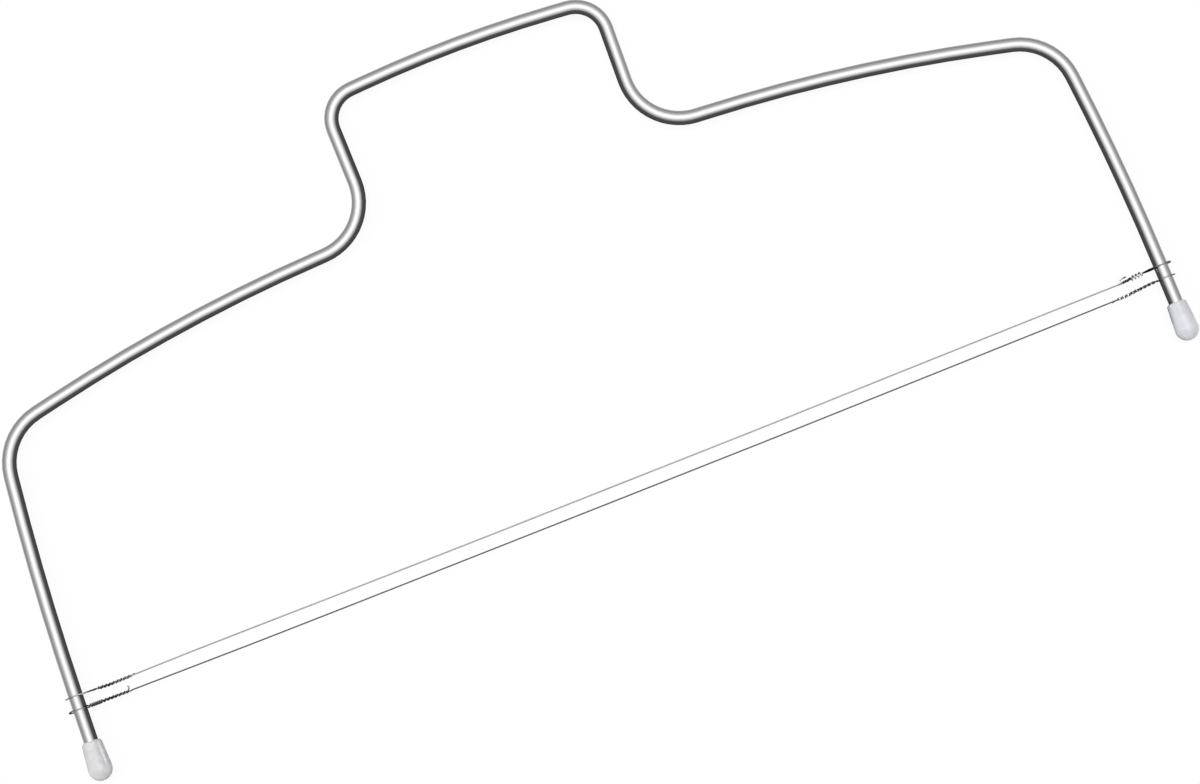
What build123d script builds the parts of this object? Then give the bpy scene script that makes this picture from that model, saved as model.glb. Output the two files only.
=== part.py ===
from build123d import *
import os
from math import radians, sin, tan

os.makedirs("parts", exist_ok=True)

# Cake leveler: a bent rod frame on two capped feet, with two taut cutting wires
# twisted round its legs. All sizes are in millimetres. The tool lies flat: +X runs
# along the wires, +Y from the feet to the handle, and Z is 0 on the table.

# Frame rod. Half widths are measured from the middle of the handle, and heights
# from the rim of the left cap. Corners are given sharp and then bent.
rod_diameter = 4.0
neck_half_width = 39.8
neck_bend = 16.0
grip_flare = 1.0
grip_rise = 39.9
grip_crown = 3.2
grip_bend = 9.0
shoulder_half_width = 156.1
shoulder_height = 87.5
shoulder_bend = 16.0
arch_rise = 16.2
arch_crown = 5.0
left_leg_splay = 5.1
right_leg_splay = 4.2
right_foot_rise = 6.5
leg_crown = 1.7
rod_end_chamfer = 0.4
crown_bend_share = 0.7
shortest_run = 0.01

# Foot caps, pushed onto the ends of the rod
cap_length = 11.2
cap_diameter = 6.7
cap_rim_diameter = 5.5
cap_rim_chamfer = 0.5
cap_seat_depth = 7.6
cap_fit = 0.02

# Cutting wires. Each height is measured along the leg from the rim of its cap.
wire_diameter = 0.4
left_wire_height = 9.1
right_wire_height = 7.1
wire_spacing = 3.8
upper_wire_lift = 40.0

# Twisted eye at each end of a wire
eye_gap = 0.3
eye_nose_bend = 0.5
eye_side_bend = 2.0
eye_neck_bend = 1.5
eye_nose_angle = 45.0
eye_taper_angle = 31.0
twist_turns = 3
twist_pitch = 2.8
strand_sides = 6
steps_per_turn = 22
wire_overlap = 0.2

neck_height = shoulder_height + arch_rise
grip_height = neck_height + grip_rise
grip_half_width = neck_half_width + grip_flare
rod_radius = rod_diameter / 2
cap_radius = cap_diameter / 2
wire_radius = wire_diameter / 2


def crown_point(start, end, height):
    """The corner that bows a run of rod out by its crown, to the left of the run."""
    side = (end - start).normalized().rotate(Axis.Z, 90)
    return (start + end) / 2 + side * height


def crown_bend(start, corner, end):
    """The radius of a gentle bend that takes up most of both its runs."""
    turn = (corner - start).get_angle(end - corner)
    run = min((corner - start).length, (end - corner).length)
    return crown_bend_share * run / tan(radians(turn / 2))


def straight_run(start, end):
    """A straight run, left out where one bend goes right on into the next."""
    if (end - start).length > shortest_run:
        Line(start, end)


def bent_line(corners, bends):
    """Straight runs joined by tangent bends, one bend for each inner corner."""
    start = corners[0]
    for before, corner, after, bend in zip(corners, corners[1:], corners[2:], bends):
        along = (corner - before).normalized()
        onward = (after - corner).normalized()
        setback = bend * tan(radians(along.get_angle(onward) / 2))
        straight_run(start, corner - along * setback)
        TangentArc(corner - along * setback, corner + onward * setback, tangent=along)
        start = corner + onward * setback
    straight_run(start, corners[-1])


# Where the rod turns, in the plane of the frame
left_foot = Vector(-shoulder_half_width - left_leg_splay, 0)
right_foot = Vector(shoulder_half_width + right_leg_splay, right_foot_rise)
left_shoulder = Vector(-shoulder_half_width, shoulder_height)
right_shoulder = Vector(shoulder_half_width, shoulder_height)
left_neck = Vector(-neck_half_width, neck_height)
right_neck = Vector(neck_half_width, neck_height)
left_grip = Vector(-grip_half_width, grip_height)
right_grip = Vector(grip_half_width, grip_height)
left_knee = crown_point(left_foot, left_shoulder, leg_crown)
right_knee = crown_point(right_shoulder, right_foot, leg_crown)
left_arch = crown_point(left_shoulder, left_neck, arch_crown)
right_arch = crown_point(right_neck, right_shoulder, arch_crown)
grip_top = crown_point(left_grip, right_grip, grip_crown)

# The ends of the rod run straight on into the caps
left_heading = (left_foot - left_knee).normalized()
right_heading = (right_foot - right_knee).normalized()
left_end = left_foot + left_heading * cap_seat_depth
right_end = right_foot + right_heading * cap_seat_depth
left_ball = left_foot + left_heading * (cap_length - cap_radius)
right_ball = right_foot + right_heading * (cap_length - cap_radius)

# The frame's plane puts the origin under the middle of the tool, on the table
middle_x = (left_ball.X + right_ball.X) / 2
lowest_y = min(left_ball.Y, right_ball.Y) - cap_radius
highest_y = grip_height + grip_crown * (1 - crown_bend_share / 2) + rod_radius
middle_y = (lowest_y + highest_y) / 2
lie = Plane(origin=(-middle_x, -middle_y, cap_radius))

# Frame rod: one length, bent in one plane
corners = [
    left_end,
    left_knee,
    left_shoulder,
    left_arch,
    left_neck,
    left_grip,
    grip_top,
    right_grip,
    right_neck,
    right_arch,
    right_shoulder,
    right_knee,
    right_end,
]
bends = [
    crown_bend(left_foot, left_knee, left_shoulder),
    shoulder_bend,
    crown_bend(left_shoulder, left_arch, left_neck),
    neck_bend,
    grip_bend,
    crown_bend(left_grip, grip_top, right_grip),
    grip_bend,
    neck_bend,
    crown_bend(right_neck, right_arch, right_shoulder),
    shoulder_bend,
    crown_bend(right_shoulder, right_knee, right_foot),
]

with BuildPart() as frame_rod:
    with BuildLine() as centreline:
        bent_line([lie.from_local_coords(corner) for corner in corners], bends)
    with BuildSketch(Plane(origin=centreline.line @ 0, z_dir=centreline.line % 0)):
        Circle(rod_radius)
    sweep()
    ends = frame_rod.faces().filter_by(GeomType.PLANE)
    chamfer(ends.edges(), rod_end_chamfer)

frame_rod.part.label = "frame_rod"
export_step(frame_rod.part, "parts/frame_rod.step")

# Caps: soft bulbs with a blind bore, seated against the ends of the rod
for side, foot, heading in (("left", left_foot, left_heading), ("right", right_foot, right_heading)):
    rim = Plane(origin=lie.from_local_coords(foot), x_dir=heading, z_dir=lie.z_dir)
    with BuildPart() as cap:
        with BuildSketch(rim) as half_section:
            with BuildLine():
                mouth = Line((0, 0), (0, cap_rim_diameter / 2))
                flare = Line(mouth @ 1, (cap_length - cap_radius, cap_radius))
                nose = TangentArc(flare @ 1, (cap_length, 0), tangent=(1, 0))
                Line(nose @ 1, mouth @ 0)
            make_face()
            rim_corner = half_section.vertices().sort_by_distance((0, cap_rim_diameter / 2))[0]
            chamfer(rim_corner, cap_rim_chamfer)
        revolve(axis=Axis(rim.origin, rim.x_dir))
        with BuildSketch(Plane(origin=rim.origin, z_dir=heading)):
            Circle(rod_radius + cap_fit)
        extrude(amount=cap_seat_depth, mode=Mode.SUBTRACT)
    cap.part.label = f"{side}_cap"
    export_step(cap.part, f"parts/{side}_cap.step")

# The eye of a wire, in a plane that stands across the leg: x runs inwards from the
# middle of the leg. It leaves room for the legs, which lean in as the wire goes up.
eye_slack = upper_wire_lift * left_leg_splay / shoulder_height
eye_half_height = rod_radius + eye_gap + wire_radius
eye_nose = eye_half_height / sin(radians(eye_nose_angle))
eye_brow = eye_half_height * tan(radians(eye_nose_angle / 2))
eye_cheek = eye_slack + eye_half_height * tan(radians(eye_taper_angle / 2))
eye_neck = eye_cheek + (eye_half_height - wire_radius) / tan(radians(eye_taper_angle))
eye_end = eye_neck + eye_neck_bend * tan(radians(eye_taper_angle / 2))
twist_end = eye_end + twist_turns * twist_pitch
upper_points = [
    Vector(eye_end, wire_radius),
    Vector(eye_neck, wire_radius),
    Vector(eye_cheek, eye_half_height),
    Vector(-eye_brow, eye_half_height),
]
lower_points = [Vector(point.X, -point.Y) for point in reversed(upper_points)]
eye_points = upper_points + [Vector(-eye_nose, 0)] + lower_points
upper_bends = [eye_neck_bend, eye_side_bend, eye_side_bend]
eye_bends = upper_bends + [eye_nose_bend] + upper_bends[::-1]

# Eye: the wire comes round the leg and then wraps its tail round itself. Loop and
# twist share one six-sided section, so that they meet face to face.
with BuildPart() as eye:
    with BuildLine() as loop:
        bent_line(eye_points, eye_bends)
    with BuildSketch(Plane(origin=loop.line @ 0, x_dir=Axis.Z.direction, z_dir=loop.line % 0)):
        RegularPolygon(wire_radius, strand_sides, major_radius=False)
    sweep()
    for step in range(twist_turns * steps_per_turn + 1):
        with BuildSketch(Plane.YZ.offset(eye_end + twist_pitch * step / steps_per_turn)):
            with PolarLocations(wire_radius, 2, start_angle=360 * step / steps_per_turn):
                RegularPolygon(wire_radius, strand_sides, major_radius=False, rotation=180 / strand_sides)
    loft(ruled=True)

# Wires: each one length, with an eye round either leg and a taut run between them
for name, lift in (("lower_wire", 0), ("upper_wire", wire_spacing)):
    left_seat = lie.from_local_coords(left_foot - left_heading * (left_wire_height + lift))
    right_seat = lie.from_local_coords(right_foot - right_heading * (right_wire_height + lift))
    span = right_seat - left_seat
    along = span.normalized()
    left_stand = Plane(origin=left_seat, x_dir=along, z_dir=along.cross(lie.z_dir))
    right_stand = Plane(origin=right_seat, x_dir=-along, z_dir=-along.cross(lie.z_dir))
    run_start = twist_end - wire_overlap
    with BuildPart() as wire:
        with Locations(left_stand.location, right_stand.location):
            add(eye.part)
        with BuildSketch(Plane(origin=left_seat + along * run_start, z_dir=along)):
            Circle(wire_radius)
        extrude(amount=span.length - 2 * run_start)
    wire.part.label = name
    export_step(wire.part, f"parts/{name}.step")
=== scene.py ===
from math import asin, atan2, cos, pi, radians, sin, tan
import bmesh
import bpy
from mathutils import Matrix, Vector


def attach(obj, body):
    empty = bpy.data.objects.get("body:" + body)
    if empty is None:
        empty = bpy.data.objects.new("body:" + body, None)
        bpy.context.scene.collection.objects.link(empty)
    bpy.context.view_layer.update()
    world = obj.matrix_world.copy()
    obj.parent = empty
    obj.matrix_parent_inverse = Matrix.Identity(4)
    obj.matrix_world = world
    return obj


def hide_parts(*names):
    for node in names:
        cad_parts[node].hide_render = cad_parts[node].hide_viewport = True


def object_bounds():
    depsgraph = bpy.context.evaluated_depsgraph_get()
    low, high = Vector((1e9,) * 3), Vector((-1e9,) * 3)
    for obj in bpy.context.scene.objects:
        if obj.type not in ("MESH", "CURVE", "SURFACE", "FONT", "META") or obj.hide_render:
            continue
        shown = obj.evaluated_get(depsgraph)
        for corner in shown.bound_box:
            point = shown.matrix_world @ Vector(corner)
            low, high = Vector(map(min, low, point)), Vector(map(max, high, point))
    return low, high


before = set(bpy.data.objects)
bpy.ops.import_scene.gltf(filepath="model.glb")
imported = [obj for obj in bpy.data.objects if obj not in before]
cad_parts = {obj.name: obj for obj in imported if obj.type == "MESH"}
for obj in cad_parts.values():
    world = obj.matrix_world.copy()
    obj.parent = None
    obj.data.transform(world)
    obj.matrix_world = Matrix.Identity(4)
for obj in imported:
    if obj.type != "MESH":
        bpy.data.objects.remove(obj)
cadLow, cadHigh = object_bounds()
scene = bpy.context.scene
print("stage: frame loaded")


# shared helpers: millimetres in the settings, metres in the scene

mm = 0.001


def newMaterial(name):
    material = bpy.data.materials.new(name)
    material.use_nodes = True
    tree = material.node_tree
    tree.nodes.clear()
    output = tree.nodes.new("ShaderNodeOutputMaterial")
    return material, tree, output


def addNode(tree, kind, **values):
    node = tree.nodes.new("ShaderNode" + kind)
    for key, value in values.items():
        setattr(node, key, value)
    return node


def setInputs(node, **values):
    for key, value in values.items():
        node.inputs[key.replace("_", " ")].default_value = value


def link(tree, source, target):
    tree.links.new(source, target)


def grey(value):
    return (value, value, value, 1)


def ramp(value):
    return min(1, max(0, value))


def roundedLine(corners, bends, arcStep):
    points = [corners[0]]
    for before, corner, after, bend in zip(corners, corners[1:], corners[2:], bends):
        along = (corner - before).normalized()
        onward = (after - corner).normalized()
        turn = along.angle(onward)
        setback = bend * tan(turn / 2)
        begin = corner - along * setback
        inward = (onward - along * along.dot(onward)).normalized()
        middle = begin + inward * bend
        count = max(2, round(turn / radians(arcStep)))
        for step in range(count + 1):
            angle = turn * step / count
            points.append(middle - inward * bend * cos(angle) + along * bend * sin(angle))
    points.append(corners[-1])
    return points


# camera: the photograph is taken from almost straight above the tool

cameraSettings = {
    "place": (-0.02591, -0.11111, 0.82644),
    "turn": (6.087, 0.171, -20.872),
    "lens": 90,
    "sensor": 36,
}


def addCamera(settings):
    data = bpy.data.cameras.new("photoCamera")
    data.lens = settings["lens"]
    data.sensor_width = settings["sensor"]
    camera = bpy.data.objects.new("photoCamera", data)
    camera.location = settings["place"]
    camera.rotation_euler = [radians(angle) for angle in settings["turn"]]
    scene.collection.objects.link(camera)
    scene.camera = camera


addCamera(cameraSettings)
print("stage: camera")


# studio: a pale floor, soft lamps, and cards of light and dark that only reflections see

studioSettings = {
    "floorSize": 6.0,
    "floorColour": 0.94,
    "floorGlow": 0.9,        # share of plain white in what the camera and the steel see
    "worldFill": 0.42,
}

lampSettings = [
    {"name": "topSoftbox", "place": (0.05, 0.15, 1.7), "size": (1.5, 1.2), "power": 20},
    {"name": "leftSoftbox", "place": (-1.3, 0.5, 1.1), "size": (0.9, 0.9), "power": 7},
]

# the rod's middle line, for the cards that stand round it: sharp corners and their bends,
# from the middle of the tool, in millimetres
rodLine = {
    "corners": ((-160.86, -75.84), (-159.86, -24.39), (-155.61, 19.26), (-98.15, 32.31),
                (-39.31, 35.46), (-40.31, 75.36), (0.49, 78.56), (41.29, 75.36), (40.29, 35.46),
                (99.13, 32.31), (156.59, 19.26), (160.39, -21.15), (160.86, -69.34)),
    "bends": (791.0, 16, 484.3, 16, 9, 365.3, 9, 16, 484.3, 16, 677.8),
    "height": 3.35,
    "radius": 2.0,
    "arcStep": 6,
}

# plain cards, the same all along the rod: dark on its inner side, bright along its middle and
# grey on its outer side, as (place across it, grey) from the inner edge to the outer one. Each
# card stands where the camera sees it in the rod
cardSettings = {
    "look": ((-1, 0.05), (-0.5, 0.08), (0, 1.1), (0.2, 1.2), (0.5, 0.5), (0.8, 0.25), (1, 0.5)),
    # from the rod to the cards, along the rod: nearer in the tight corners of the grip
    "reach": ((226, 9), (233, 5), (247, 5), (254, 9), (310, 9), (317, 5), (331, 5), (338, 9)),
    "floorLift": 0.3,
    "across": 40,            # strips from one edge of the rod to the other
    "step": 3.0,             # along the rod
}

# a strip of light beside the left cap: from one place on the cap's axis to another, and where
# it shows across the cap
capStrip = {
    "name": "leftStrip",
    "from": (-160.87, -68, 3.35),
    "to": (-160.88, -74.5, 3.35),
    "radius": 3.1,
    "place": 0.62,
    "halfWidth": 0.08,
    "segments": (4, 6),      # across and along
    "grey": 5,
    "reach": 8.0,
}


def seenMask(tree):
    # 1 for camera, glossy and transmission rays, 0 for the light that falls on things
    path = addNode(tree, "LightPath")
    first = addNode(tree, "Math", operation="MAXIMUM")
    second = addNode(tree, "Math", operation="MAXIMUM")
    link(tree, path.outputs["Is Camera Ray"], first.inputs[0])
    link(tree, path.outputs["Is Glossy Ray"], first.inputs[1])
    link(tree, first.outputs[0], second.inputs[0])
    link(tree, path.outputs["Is Transmission Ray"], second.inputs[1])
    return second.outputs[0]


def addFloor(settings):
    mesh = bpy.data.meshes.new("floor")
    bm = bmesh.new()
    bmesh.ops.create_grid(bm, x_segments=1, y_segments=1, size=settings["floorSize"] / 2)
    bm.to_mesh(mesh)
    bm.free()
    floor = bpy.data.objects.new("floor", mesh)
    scene.collection.objects.link(floor)
    material, tree, output = newMaterial("paleFloor")
    matt = addNode(tree, "BsdfDiffuse")
    setInputs(matt, Color=grey(settings["floorColour"]))
    glow = addNode(tree, "Emission")
    setInputs(glow, Color=grey(1), Strength=1)
    share = addNode(tree, "Math", operation="MULTIPLY")
    link(tree, seenMask(tree), share.inputs[0])
    share.inputs[1].default_value = settings["floorGlow"]
    mix = addNode(tree, "MixShader")
    link(tree, share.outputs[0], mix.inputs["Fac"])
    link(tree, matt.outputs[0], mix.inputs[1])
    link(tree, glow.outputs[0], mix.inputs[2])
    link(tree, mix.outputs[0], output.inputs["Surface"])
    mesh.materials.append(material)


def addWorld(settings):
    world = bpy.data.worlds.new("studio")
    world.use_nodes = True
    tree = world.node_tree
    background = tree.nodes["Background"]
    strength = addNode(tree, "MapRange")
    link(tree, seenMask(tree), strength.inputs["Value"])
    setInputs(strength, To_Min=settings["worldFill"], To_Max=1.0)
    link(tree, strength.outputs["Result"], background.inputs["Strength"])
    background.inputs["Color"].default_value = grey(1)
    scene.world = world


def addLamp(settings):
    data = bpy.data.lights.new(settings["name"], "AREA")
    data.shape = "RECTANGLE"
    data.size, data.size_y = settings["size"]
    data.energy = settings["power"]
    lamp = bpy.data.objects.new(settings["name"], data)
    lamp.location = settings["place"]
    # every lamp looks at the middle of the tool
    lamp.rotation_euler = (-lamp.location).to_track_quat("-Z", "Y").to_euler()
    scene.collection.objects.link(lamp)


def onlyInReflections(thing):
    thing.visible_camera = False
    thing.visible_diffuse = False
    thing.visible_transmission = False
    thing.visible_volume_scatter = False
    thing.visible_shadow = False


def levelAt(stops, at):
    # the level at a place that lies between two of the stops
    for before, after in zip(stops, stops[1:]):
        if at <= after[0]:
            share = max(0, (at - before[0]) / (after[0] - before[0]))
            return before[1] + (after[1] - before[1]) * share
    return stops[-1][1]


def cardPoint(middle, outside, place, radius, reach):
    # the camera's ray that meets the rod at this place across it is turned back by the rod,
    # and the card stands on that ray, or lies on the floor where the ray goes down
    view = Vector(cameraSettings["place"]) - middle
    lean = atan2(view.dot(outside), view.z)
    turn = asin(max(-1, min(1, place)))
    start = middle + (outside * sin(turn + lean) + Vector((0, 0, cos(turn + lean)))) * radius
    ray = outside * sin(2 * turn + lean) + Vector((0, 0, cos(2 * turn + lean)))
    lowest = cardSettings["floorLift"] * mm
    if start.z + ray.z * reach < lowest:
        reach = (start.z - lowest) / -ray.z
    return start + ray * reach


def cardMaterial():
    material, tree, output = newMaterial("cardGlow")
    colour = addNode(tree, "Attribute", attribute_name="cardTone")
    glow = addNode(tree, "Emission")
    link(tree, colour.outputs["Color"], glow.inputs["Color"])
    link(tree, glow.outputs[0], output.inputs["Surface"])
    return material


cardGlow = cardMaterial()


def placeCards(name, bm):
    mesh = bpy.data.meshes.new(name)
    bm.to_mesh(mesh)
    bm.free()
    mesh.materials.append(cardGlow)
    cards = bpy.data.objects.new(name, mesh)
    scene.collection.objects.link(cards)
    onlyInReflections(cards)


def addCards(settings):
    corners = [Vector((x, y, rodLine["height"])) * mm for x, y in rodLine["corners"]]
    line = roundedLine(corners, [bend * mm for bend in rodLine["bends"]], rodLine["arcStep"])
    places, total = [], 0
    for before, after in zip(line, line[1:]):
        run = after - before
        count = max(1, round(run.length / (settings["step"] * mm)))
        for step in range(count):
            share = step / count
            distance = total + run.length * share
            places.append((before.lerp(after, share), run.normalized(), distance))
        total += run.length
    rows, columns = len(places), settings["across"] + 1
    bm = bmesh.new()
    bmesh.ops.create_grid(bm, x_segments=columns - 1, y_segments=rows - 1, size=1)
    tone = bm.verts.layers.float_color.new("cardTone")
    bm.verts.ensure_lookup_table()
    for row, (middle, heading, distance) in enumerate(places):
        outside = Vector((-heading.y, heading.x, 0))
        reach = levelAt(settings["reach"], distance / mm) * mm
        for column in range(columns):
            place = 2 * column / (columns - 1) - 1
            vert = bm.verts[row * columns + column]
            vert.co = cardPoint(middle, outside, place, rodLine["radius"] * mm, reach)
            vert[tone] = grey(levelAt(settings["look"], place))
    placeCards("cards", bm)


def addStrip(settings):
    # a strip of light beside a cap, where the camera sees it in the cap
    first, last = Vector(settings["from"]) * mm, Vector(settings["to"]) * mm
    heading = (last - first).normalized()
    outside = Vector((-heading.y, heading.x, 0))
    across, along = settings["segments"]
    bm = bmesh.new()
    bmesh.ops.create_grid(bm, x_segments=across, y_segments=along, size=1)
    tone = bm.verts.layers.float_color.new("cardTone")
    for vert in bm.verts:
        place = settings["place"] + vert.co.x * settings["halfWidth"]
        middle = first.lerp(last, (vert.co.y + 1) / 2)
        vert.co = cardPoint(middle, outside, place, settings["radius"] * mm, settings["reach"] * mm)
        vert[tone] = grey(settings["grey"])
    placeCards(settings["name"], bm)


addFloor(studioSettings)
addWorld(studioSettings)
for lampSetting in lampSettings:
    addLamp(lampSetting)
addCards(cardSettings)
addStrip(capStrip)
scene.view_settings.view_transform = "Standard"
print("stage: studio")


# drawn metal: fine lines that run along the rod and the wires, level with the table

lineSettings = {"Scale": 1, "Detail": 3, "Roughness": 0.6}
smudgeSettings = {"Scale": 60, "Detail": 4, "Roughness": 0.55}
noiseLow, noiseHigh = 0.3, 0.7            # between which most of a noise lies


def drawnLinesGroup():
    group = bpy.data.node_groups.new("drawnLines", "ShaderNodeTree")
    for name in ("Across", "Along"):
        group.interface.new_socket(name, in_out="INPUT", socket_type="NodeSocketFloat")
    for name in ("Lines", "Smudge"):
        group.interface.new_socket(name, in_out="OUTPUT", socket_type="NodeSocketFloat")
    entry = group.nodes.new("NodeGroupInput")
    leave = group.nodes.new("NodeGroupOutput")
    place = addNode(group, "TexCoord")
    parts = addNode(group, "SeparateXYZ")
    link(group, place.outputs["Object"], parts.inputs[0])
    scaled = []
    for axis, size in (("X", "Along"), ("Y", "Along"), ("Z", "Across")):
        times = addNode(group, "Math", operation="MULTIPLY")
        link(group, parts.outputs[axis], times.inputs[0])
        link(group, entry.outputs[size], times.inputs[1])
        scaled.append(times)
    joined = addNode(group, "CombineXYZ")
    for index, times in enumerate(scaled):
        link(group, times.outputs[0], joined.inputs[index])
    lines = addNode(group, "TexNoise")
    setInputs(lines, **lineSettings)
    link(group, joined.outputs[0], lines.inputs["Vector"])
    smudge = addNode(group, "TexNoise")
    setInputs(smudge, **smudgeSettings)
    link(group, place.outputs["Object"], smudge.inputs["Vector"])
    link(group, lines.outputs["Fac"], leave.inputs["Lines"])
    link(group, smudge.outputs["Fac"], leave.inputs["Smudge"])
    return group


drawnLines = drawnLinesGroup()


def addRoughness(tree, shader, noise, settings):
    rough = addNode(tree, "MapRange")
    setInputs(rough, From_Min=noiseLow, From_Max=noiseHigh)
    setInputs(rough, To_Min=settings["smooth"], To_Max=settings["rough"])
    link(tree, noise, rough.inputs["Value"])
    link(tree, rough.outputs["Result"], shader.inputs["Roughness"])


def addRelief(tree, shader, noise, settings):
    bump = addNode(tree, "Bump")
    setInputs(bump, Strength=settings["relief"], Distance=settings["depth"] * mm)
    link(tree, noise, bump.inputs["Height"])
    link(tree, bump.outputs["Normal"], shader.inputs["Normal"])


def addMetal(name, settings):
    material, tree, output = newMaterial(name)
    shader = addNode(tree, "BsdfPrincipled")
    setInputs(shader, Metallic=1)
    drawn = tree.nodes.new("ShaderNodeGroup")
    drawn.node_tree = drawnLines
    setInputs(drawn, Across=settings["across"], Along=settings["along"])
    tone = addNode(tree, "MixRGB")
    setInputs(tone, Color1=settings["dark"], Color2=settings["light"])
    link(tree, drawn.outputs["Lines"], tone.inputs["Fac"])
    colour = tone.outputs["Color"]
    # painted shade and highlights on the wire, carried by a mark on each point of its mesh
    if "shadeAndGlint" in settings:
        shadeAndGlint = addNode(tree, "Attribute", attribute_name=settings["shadeAndGlint"])
        shadedAndLit = addNode(tree, "VectorMath", operation="SCALE")
        link(tree, colour, shadedAndLit.inputs[0])
        link(tree, shadeAndGlint.outputs["Fac"], shadedAndLit.inputs["Scale"])
        colour = shadedAndLit.outputs[0]
    link(tree, colour, shader.inputs["Base Color"])
    addRoughness(tree, shader, drawn.outputs["Smudge"], settings)
    addRelief(tree, shader, drawn.outputs["Lines"], settings)
    link(tree, shader.outputs[0], output.inputs["Surface"])
    return material


steelSettings = {
    "dark": (0.84, 0.84, 0.845, 1),
    "light": (0.94, 0.94, 0.945, 1),
    "across": 3200,
    "along": 14,
    "smooth": 0.03,
    "rough": 0.075,
    "relief": 0.4,
    "depth": 0.03,
}

wireSettings = {
    "shadeAndGlint": "wireShadeAndGlint",      # painted shade where it is wound, painted highlights where it catches the light
    "dark": (0.13, 0.13, 0.135, 1),
    "light": (0.26, 0.26, 0.265, 1),
    "across": 9000,
    "along": 60,
    "smooth": 0.2,
    "rough": 0.32,
    "relief": 0.2,
    "depth": 0.01,
}

# what the two caps share
capSettings = {
    "radius": 3.35,
    "cloud": {"Scale": 420, "Detail": 4, "Roughness": 0.6},
    "cloudSpread": (0.3, 0.6),            # the part of the clouds that goes from shade to milk
    "sideSpread": (-0.3, 0.85),           # over which the painted dark edge comes in
    "smooth": 0.16,
    "rough": 0.26,
    "gloss": 1.46,
    "scatter": 0.45,
    "scatterScale": 0.0012,
    "scatterRadius": (1.0, 1.0, 1.1),
    "grain": {"Scale": 900, "Detail": 2},
    "relief": 0.12,
    "depth": 0.02,
}

leftCapSettings = {
    **capSettings,
    "shade": (0.575, 0.575, 0.585, 1),
    "milk": (0.645, 0.645, 0.655, 1),
    # the colour of the painted shade low down at the edge
    "edge": (0.2, 0.2, 0.2, 1),
    "middle": (-160.87, -76.09, 3.35),    # of the round end, in millimetres
    "edgeHeight": (-0.05, 0.64),          # from dark to pale, as shares of the radius
    "edgeAim": (0.28, -0.96, 0),          # the side with the darkest edge
    "edgeShare": (0.28, 0.9),
}

rightCapSettings = {
    **capSettings,
    "shade": (0.6, 0.605, 0.65, 1),
    "milk": (0.665, 0.67, 0.71, 1),
    # the colour of the painted shade low down at the edge
    "edge": (0.26, 0.26, 0.31, 1),
    "middle": (160.87, -69.57, 3.35),
    "edgeHeight": (-0.05, 0.68),
    "edgeAim": (-0.99, -0.1, 0),
    "edgeShare": (0.12, 0.85),
}


def addSpread(tree, source, span, ends, **values):
    # a part of a value's range, drawn out to two ends
    spread = addNode(tree, "MapRange", **values)
    setInputs(spread, From_Min=span[0], From_Max=span[1], To_Min=ends[0], To_Max=ends[1])
    link(tree, source, spread.inputs["Value"])
    return spread.outputs["Result"]


def addPlastic(name, settings):
    material, tree, output = newMaterial(name)
    shader = addNode(tree, "BsdfPrincipled")
    place = addNode(tree, "TexCoord")
    cloud = addNode(tree, "TexNoise")
    setInputs(cloud, **settings["cloud"])
    link(tree, place.outputs["Object"], cloud.inputs["Vector"])
    tone = addNode(tree, "MixRGB")
    setInputs(tone, Color1=settings["shade"], Color2=settings["milk"])
    spread = addSpread(tree, cloud.outputs["Fac"], settings["cloudSpread"], (0, 1))
    link(tree, spread, tone.inputs["Fac"])
    # painted shade: the plastic is coloured darker low down, where it nears the table, and most on
    # one side
    shift = addNode(tree, "Mapping")
    size = 1 / (settings["radius"] * mm)
    middle = [-value / settings["radius"] for value in settings["middle"]]
    setInputs(shift, Location=middle, Scale=(size, size, size))
    link(tree, place.outputs["Object"], shift.inputs["Vector"])
    height = addNode(tree, "SeparateXYZ")
    link(tree, shift.outputs[0], height.inputs[0])
    low = addSpread(tree, height.outputs["Z"], settings["edgeHeight"], (1, 0),
                    interpolation_type="SMOOTHSTEP")
    aim = addNode(tree, "VectorMath", operation="DOT_PRODUCT")
    aim.inputs[1].default_value = settings["edgeAim"]
    link(tree, shift.outputs[0], aim.inputs[0])
    side = addSpread(tree, aim.outputs["Value"], settings["sideSpread"], settings["edgeShare"],
                     interpolation_type="SMOOTHSTEP")
    both = addNode(tree, "Math", operation="MULTIPLY")
    link(tree, low, both.inputs[0])
    link(tree, side, both.inputs[1])
    edged = addNode(tree, "MixRGB")
    setInputs(edged, Color2=settings["edge"])
    link(tree, both.outputs[0], edged.inputs["Fac"])
    link(tree, tone.outputs["Color"], edged.inputs["Color1"])
    link(tree, edged.outputs["Color"], shader.inputs["Base Color"])
    setInputs(shader, IOR=settings["gloss"], Subsurface_Weight=settings["scatter"],
              Subsurface_Scale=settings["scatterScale"],
              Subsurface_Radius=settings["scatterRadius"])
    addRoughness(tree, shader, cloud.outputs["Fac"], settings)
    grain = addNode(tree, "TexNoise")
    setInputs(grain, **settings["grain"])
    link(tree, place.outputs["Object"], grain.inputs["Vector"])
    addRelief(tree, shader, grain.outputs["Fac"], settings)
    link(tree, shader.outputs[0], output.inputs["Surface"])
    return material


polishedSteel = addMetal("polishedSteel", steelSettings)
wireSteel = addMetal("wireSteel", wireSettings)
leftPlastic = addPlastic("leftPlastic", leftCapSettings)
rightPlastic = addPlastic("rightPlastic", rightCapSettings)

nodeMaterials = {"frame_rod": polishedSteel, "left_cap": leftPlastic, "right_cap": rightPlastic}
for node, material in nodeMaterials.items():
    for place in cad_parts[node].material_slots:
        place.material = material
print("stage: materials")


# cutting wires: one unbroken wire each, round both legs and wound on itself

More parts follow.
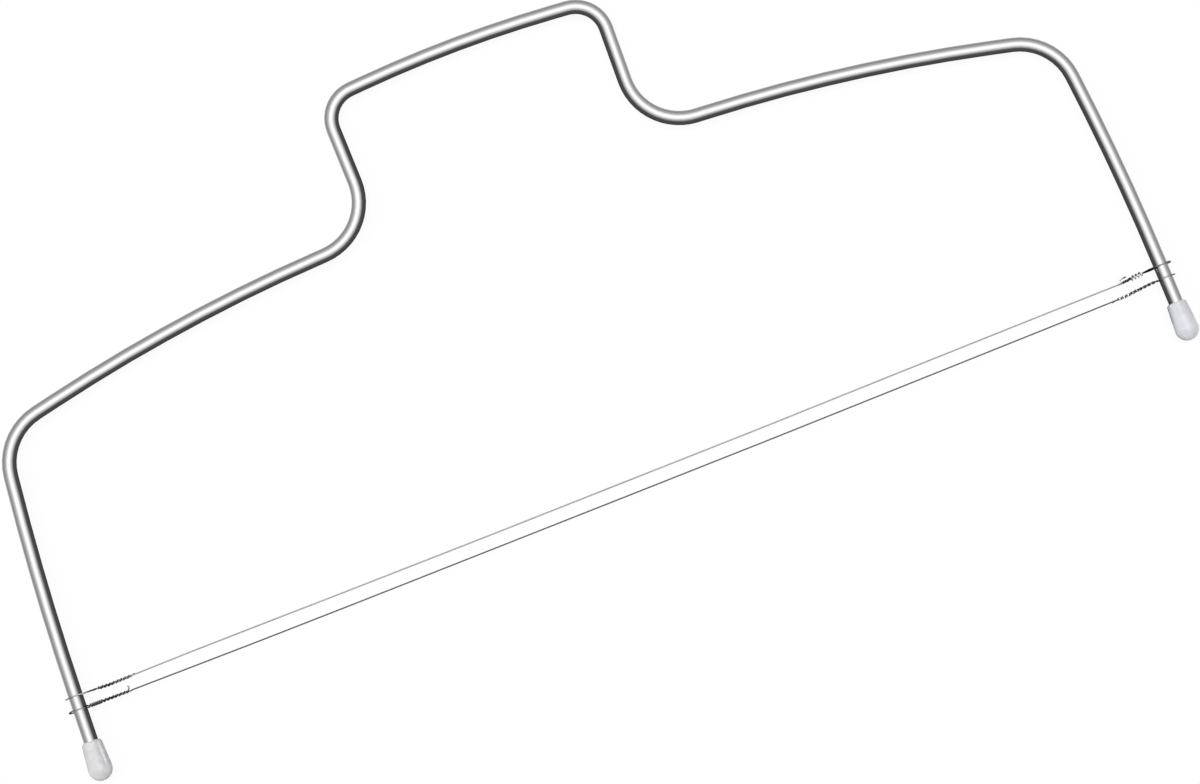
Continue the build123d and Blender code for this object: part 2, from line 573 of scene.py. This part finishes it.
eyeSettings = {
    "wireRadius": 0.2,
    "halfHeight": 2.5,       # from the middle of the leg to the strand above it
    "noseBend": 0.5,
    "sideBend": 2.0,
    "neckLean": 0.03,        # in radians, and a straight bit, before the winding starts
    "neckRun": 0.05,
    "spreadFrom": 0.7,       # where the strands start to lie apart, as a share of the height
    "spreadEase": (0.3, 0.5),             # how soon they do so, and how soon they close again
    "slantFrom": 0.8,        # where they start to slant, as a share of the brow
    "slantEase": 0.8,
    "sideEase": 0.6,         # over what height the wire goes from one side to the other
    "overReach": 0.75,       # how far the strands over the leg reach, as a share of the height
    "overTone": 2.0,         # painted light, brighter where the wire passes over and under the leg
    "stepsPerTurn": 14,
    "settleLength": 1.6,     # over which the strands come together or part again
    "settleSteps": 6,
    "runSteps": 60,          # along the taut run
    "sides": 10,
    "arcStep": 12,
}

# each run: how bright its taut length is painted, the seats of its eyes on the legs, how far each
# end lies above its seat, and how far the wire hangs below them at shares of its length
# each eye: the angle of its nose, slack for the lean of the leg, the angle and the bend with
# which its strands close, how far they lie apart and slant as seen from above, the painted
# shade and highlight of nose and strands, how bright the painted glints are that part the
# windings, and where the tip of the tail bends off to
# each winding: length, pitch, share of the winding that the tail does (1: the wire straight
# and the tail round it), looseness, painted shade and highlight of the wire and of the tail
wireRunSettings = [
    {
        "name": "lowerWire",
        "node": "lower_wire",
        "body": "lower_wire",
        "tone": 0.3,
        "left": (-160.536, -59.142),
        "right": (160.717, -54.641),
        "shift": (0.1, 0.35),
        "sag": ((0.01, 0.05), (0.04, 0.25), (0.1, 0.5), (0.16, 0.72), (0.25, 0.9), (0.5, 1.1),
                (0.63, 1.17), (0.75, 1.07), (0.9, 0.94), (0.96, 0.8), (0.985, 0.1)),
        "leftEye": {
            "nose": 50, "slack": 0, "taper": 74, "bend": 0.4, "apart": 0.28, "slant": 0.2,
            "noseTone": 0, "strandTone": 0.3, "glint": 0.5,
            "hook": ((0.3, 0.4), (0.4, 0.9), (0.1, 1.1)),
            "hookTone": 1,
            "windings": ((3.4, 0.55, 1, 1, 0.4, 0.55), (7.8, 1.1, 0.7, 1.08, 0.3, 0.6)),
        },
        "rightEye": {
            "nose": 62, "slack": 0, "taper": 66, "bend": 0.6, "apart": 0.17, "slant": 0.15,
            "noseTone": 2.8, "strandTone": 0.5, "glint": 2.5,
            "hook": ((0.9, 0.2), (1.8, 0.4)),
            "hookTone": 1.5,
            "windings": ((5, 2.6, 0.5, 1.1, 0.25, 0.5), (6.5, 1.3, 0.7, 1.15, 0.3, 1.6)),
        },
    },
    {
        "name": "upperWire",
        "node": "upper_wire",
        "body": "upper_wire",
        "tone": 1.1,
        "left": (-160.462, -55.343),
        "right": (160.679, -50.841),
        "shift": (0.15, 0.2),
        "sag": ((0.01, 0.1), (0.03, 0.45), (0.1, 0.36), (0.16, 0.48), (0.25, 0.72), (0.38, 0.93),
                (0.63, 1.04), (0.75, 0.86), (0.9, 0.72), (0.96, 0.72), (0.985, 0.1)),
        "leftEye": {
            "nose": 56, "slack": 2.33, "taper": 42, "bend": 1.2, "apart": -0.14, "slant": -0.1,
            "noseTone": 3.2, "strandTone": 2.2, "glint": 0.8,
            "hook": ((0.6, 0.2), (1.2, 0.6)),
            "hookTone": 1.2,
            "windings": ((9.5, 1.1, 0.7, 1.08, 0.35, 0.8),),
        },
        "rightEye": {
            "nose": 54, "slack": 2.33, "taper": 60, "bend": 0.7, "apart": -0.03, "slant": -0.13,
            "noseTone": 0, "strandTone": 0.05, "glint": 1.5,
            "hook": ((0.4, -0.15), (0.75, -0.5), (0.5, -0.85), (-0.4, -1), (-1.6, -1.05)),
            "hookTone": 2.4,
            "windings": ((3.4, 1, 1, 1.35, 4, 2.6), (2.8, 1.3, 0.5, 1, 0.2, 0.3)),
        },
    },
]


def eyeLine(settings, eye, runTone):
    # points with their painted levels of shade and highlight, from the tip of the tail, round the
    # leg
    # and out along the taut run: x inwards, z up
    radius, half = settings["wireRadius"], settings["halfHeight"]
    hold, loose = eye["windings"][0][2:4]
    taper = radians(eye["taper"])
    nose = half / sin(radians(eye["nose"]))
    brow = half * tan(radians(eye["nose"] / 2))
    cheek = eye["slack"] + half * tan(taper / 2)
    neck = cheek + (half - radius) / tan(taper)
    start = neck + eye["bend"] * tan(taper / 2 + settings["neckLean"]) + settings["neckRun"]
    gap = radius * 2 * loose
    lower = [(start, -gap * hold), (neck, -gap * hold), (cheek, -half), (-brow, -half)]
    upper = [(-brow, half), (cheek, half), (neck, gap * (1 - hold)), (start, gap * (1 - hold))]
    corners = [Vector((x, 0, z)) for x, z in lower + [(-nose, 0)] + upper]
    lowerBends = [eye["bend"], settings["sideBend"], settings["sideBend"]]
    bends = lowerBends + [settings["noseBend"]] + lowerBends[::-1]
    easeIn, easeOut = settings["spreadEase"]
    over = half * settings["overReach"]
    loop = []
    for point in roundedLine(corners, bends, settings["arcStep"]):
        apart = ramp((point.x - half * settings["spreadFrom"]) / easeIn)
        apart *= ramp((start - point.x) / easeOut)
        slant = ramp((-point.x - brow * settings["slantFrom"]) / settings["slantEase"])
        side = max(-1, min(1, point.z / settings["sideEase"]))
        point.y += (eye["apart"] * apart + eye["slant"] * slant) * side
        # painted shade and highlight: one level over the leg, one for the nose, one for the strands
        tone = settings["overTone"]
        if point.x < -over:
            tone = eye["noseTone"]
        elif point.x > over:
            tone = eye["strandTone"]
        loop.append((point, tone))
    tail, standing, along, angle = [], [], 0, 0
    for length, pitch, winding, looseness, tone, tailTone in eye["windings"]:
        steps = round(length / pitch * settings["stepsPerTurn"])
        for step in range(1, steps + 1):
            along += length / steps
            angle += 2 * pi * length / steps / pitch
            settle = min(1, length / steps / settings["settleLength"] * 2)
            hold += (winding - hold) * settle
            loose += (looseness - loose) * settle
            swing = Vector((0, sin(angle), -cos(angle))) * radius * 2 * loose
            # painted glints that part the windings, twice in each turn
            glint = 1 + eye["glint"] * max(0, cos(2 * angle)) ** 2
            middle = Vector((start + along, 0, 0))
            tail.append((middle + swing * hold, tailTone * glint))
            standing.append((middle - swing * (1 - hold), tone * glint))
    tip, last = tail[-1][0], standing[-1][0]
    tail += [(tip + Vector((x, y, 0)), eye["hookTone"]) for x, y in eye["hook"]]
    for step in range(1, settings["settleSteps"] + 1):
        share = step / settings["settleSteps"]
        ease = 1 - share * share * (3 - 2 * share)
        settled = Vector((last.x + settings["settleLength"] * share, last.y * ease, last.z * ease))
        standing.append((settled, runTone))
    return tail[::-1] + loop + standing


def sortByPlace(parts, placeOf):
    # the steps of a sweep leave the parts of its mesh in a new order each run
    for index, part in enumerate(sorted(parts, key=placeOf)):
        part.index = index
    parts.sort()


def sweepTube(bm, points, tones, radius, sides):
    # the first ring is carried from point to point, and each step leaves a band of faces
    tangents = [(points[1] - points[0]).normalized()]
    for before, after in zip(points, points[2:]):
        tangents.append((after - before).normalized())
    tangents.append((points[-1] - points[-2]).normalized())
    # each ring carries the painted level of shade and highlight of its point
    layer = bm.verts.layers.float.new(wireSettings["shadeAndGlint"])
    ring = bmesh.ops.create_circle(bm, segments=sides, radius=radius, cap_ends=True)["verts"]
    for vert in ring:
        vert[layer] = tones[0]
    lie = tangents[0].to_track_quat("Z", "Y").to_matrix()
    bmesh.ops.rotate(bm, cent=(0, 0, 0), matrix=lie, verts=ring)
    bmesh.ops.translate(bm, vec=points[0], verts=ring)
    edges = list(bm.edges)
    for index in range(1, len(points)):
        made = bmesh.ops.extrude_edge_only(bm, edges=edges)["geom"]
        ring = [item for item in made if isinstance(item, bmesh.types.BMVert)]
        for vert in ring:
            vert[layer] = tones[index]
        members = set(ring)
        edges = [item for item in made if isinstance(item, bmesh.types.BMEdge)
                 and item.verts[0] in members and item.verts[1] in members]
        turn = tangents[index - 1].rotation_difference(tangents[index]).to_matrix()
        bmesh.ops.translate(bm, vec=points[index] - points[index - 1], verts=ring)
        bmesh.ops.rotate(bm, cent=points[index], matrix=turn, verts=ring)
    bmesh.ops.contextual_create(bm, geom=edges)
    bmesh.ops.recalc_face_normals(bm, faces=bm.faces)
    sortByPlace(bm.verts, lambda vert: vert.co.to_tuple())
    sortByPlace(bm.faces, lambda face: face.calc_center_median().to_tuple())
    for face in bm.faces:
        face.smooth = True


def addWire(run, settings):
    height = (cadLow.z + cadHigh.z) / 2
    left, right = [Vector((run[side][0] * mm, run[side][1] * mm, height))
                   for side in ("left", "right")]
    span = right - left
    along = span.normalized()
    across = Vector((0, 0, 1)).cross(along)
    ends = []
    for eye, seat, inward, turn in (("leftEye", left, along, 1), ("rightEye", right, -along, -1)):
        end = []
        for point, tone in eyeLine(settings, run[eye], run["tone"]):
            upright = Vector((0, 0, point.z * mm))
            place = seat + inward * point.x * mm + across * point.y * mm * turn + upright
            end.append((place, tone))
        ends.append(end)
    first, last = ends[0][-1][0], ends[1][-1][0]
    steps = settings["runSteps"]
    middle = [(first.lerp(last, step / steps), run["tone"]) for step in range(1, steps)]
    route = ends[0] + middle + ends[1][::-1]
    points, tones = [point for point, tone in route], [tone for point, tone in route]
    stops = ((0, 0),) + run["sag"] + ((1, 0),)
    leftShift, rightShift = run["shift"]
    for point in points:
        share = (point - left).dot(along) / span.length
        drop = levelAt(stops, share) if 0 < share < 1 else 0
        point -= across * (drop - leftShift * (1 - share) - rightShift * share) * mm
    mesh = bpy.data.meshes.new(run["name"])
    bm = bmesh.new()
    sweepTube(bm, points, tones, settings["wireRadius"] * mm, settings["sides"])
    bm.to_mesh(mesh)
    bm.free()
    wire = bpy.data.objects.new(run["name"], mesh)
    mesh.materials.append(wireSteel)
    scene.collection.objects.link(wire)
    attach(wire, run["body"])
    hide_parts(run["node"])


for runSetting in wireRunSettings:
    addWire(runSetting, eyeSettings)
print("stage: wires")
